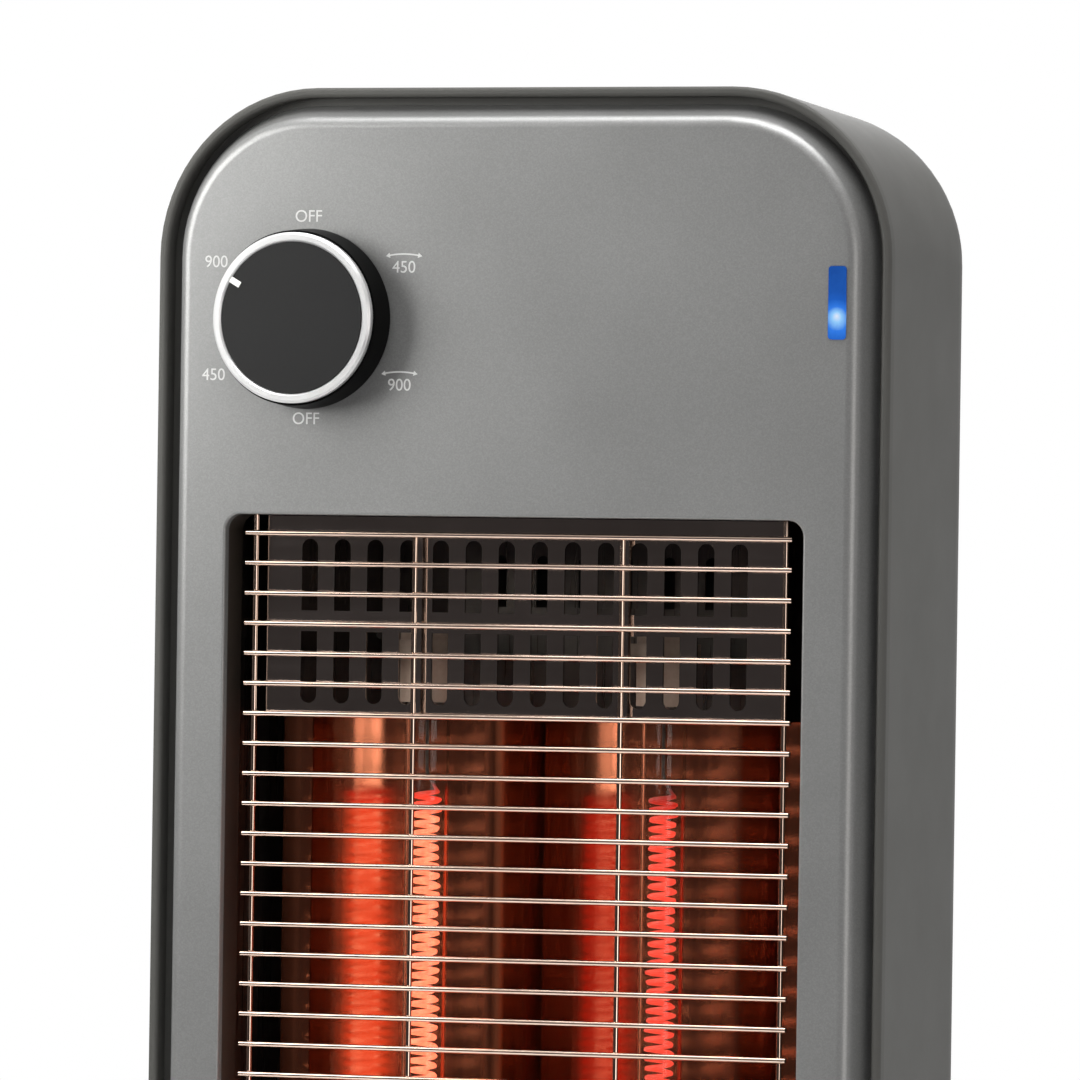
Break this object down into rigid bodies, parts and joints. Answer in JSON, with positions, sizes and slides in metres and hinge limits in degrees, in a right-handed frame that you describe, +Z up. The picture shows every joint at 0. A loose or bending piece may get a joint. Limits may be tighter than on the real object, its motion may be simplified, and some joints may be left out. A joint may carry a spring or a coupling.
{
  "type": "infrared heater",
  "caption": "Upright infrared heater with a wire guard, glowing carbon tubes in a twin reflector, a rotary knob and a swinging head on a round base.",
  "frame": {"origin": "on the floor, under the middle of the round base, on the axis about which the head swings", "axes": "+Z up along the swing axis; the heating side faces -Y; +X to the right seen from the front"},
  "size_m": [0.244, 0.244, 0.578],
  "materials": {
    "housing_plastic": "fine matte grain, dark warm grey",
    "panel_paint": "satin metallic grey paint",
    "black_sheet": "black heat-proof paint",
    "guard_chrome": "bright chrome",
    "plated_sheet": "zinc plated",
    "reflector_metal": "polished, warm tint",
    "mirror_sheet": "polished",
    "quartz": "clear, smooth",
    "cap_ceramic": "unglazed",
    "black_plastic": "moulded",
    "white_plastic": "moulded",
    "gear_plastic": "moulded acetal",
    "base_plastic": "fine matte grain, dark warm grey",
    "knob_black": "satin black",
    "knob_chrome": "bright, fine turned",
    "knob_charcoal": "soft charcoal",
    "screw_steel": "zinc plated",
    "board_green": "solder resist",
    "ballast_iron": "as cast",
    "foot_rubber": "soft black",
    "motor_steel": "zinc plated can",
    "lens_blue": "clear blue, lit from behind",
    "carbon_glow": "glowing carbon"
  },
  "bodies": {
    "knob": {"knob_body": "knob_black", "knob_ring": "knob_chrome", "knob_face": "knob_charcoal", "switch_shaft": "screw_steel"},
    "base": {"base_cover": "base_plastic", "base_plate": "black_plastic", "ballast_ring": "ballast_iron", "rubber_feet": "foot_rubber", "pivot_bush": "gear_plastic", "oscillation_motor": "motor_steel", "motor_screws": "screw_steel", "base_screws": "screw_steel", "cable_gland": "foot_rubber", "tip_switch": "black_plastic", "plunger_spring": "screw_steel"},
    "pinion": {"motor_pinion": "gear_plastic", "motor_shaft": "screw_steel"},
    "plunger": {"tip_plunger": "white_plastic"},
    "head": {"rear_housing": "housing_plastic", "front_bezel": "housing_plastic", "front_panel": "panel_paint", "window_liner": "black_sheet", "wire_guard": "guard_chrome", "reflector_tray": "plated_sheet", "reflector": "reflector_metal", "upper_vent_cover": "mirror_sheet", "lower_vent_cover": "mirror_sheet", "tube_bracket_upper": "plated_sheet", "tube_bracket_lower": "plated_sheet", "rotary_switch": "black_plastic", "switch_nut": "screw_steel", "indicator_lens": "lens_blue", "led_board": "board_green", "thermal_cutout": "plated_sheet", "terminal_block": "white_plastic", "neck": "base_plastic", "retaining_plate": "plated_sheet", "sector_gear": "gear_plastic", "housing_screws": "screw_steel", "panel_screws": "screw_steel", "tray_screws": "screw_steel", "bracket_screws": "screw_steel", "neck_screws": "screw_steel", "gear_screws": "screw_steel", "quartz_tube_left": "quartz", "quartz_tube_right": "quartz", "filament_left": "carbon_glow", "filament_right": "carbon_glow", "ceramic_cap_left_upper": "cap_ceramic", "ceramic_cap_left_lower": "cap_ceramic", "ceramic_cap_right_upper": "cap_ceramic", "ceramic_cap_right_lower": "cap_ceramic"}
  },
  "joints": [
    {"name": "head_swing", "type": "hinge", "parent": "base", "child": "head", "pos_m": [0, 0, 0.04], "axis": [0, 0, 1], "range_deg": [-35, 35]},
    {"name": "pinion_spin", "type": "hinge", "parent": "base", "child": "pinion", "pos_m": [0, 0.0585, 0.028], "axis": [0, 0, 1], "range_deg": [-120, 120]},
    {"name": "knob_turn", "type": "hinge", "parent": "head", "child": "knob", "pos_m": [-0.068, -0.0534, 0.507], "axis": [0, -1, 0], "continuous": true},
    {"name": "plunger_drop", "type": "slide", "parent": "base", "child": "plunger", "axis": [0, 0, -1], "range_m": [0, 0.006], "stiffness_N_per_m": 60, "springref_m": 0.012, "deforming": ["plunger_spring"]}
  ],
  "couplings": [
    {"joint": "pinion_spin", "follows": "head_swing", "ratio": -3.3333}
  ]
}
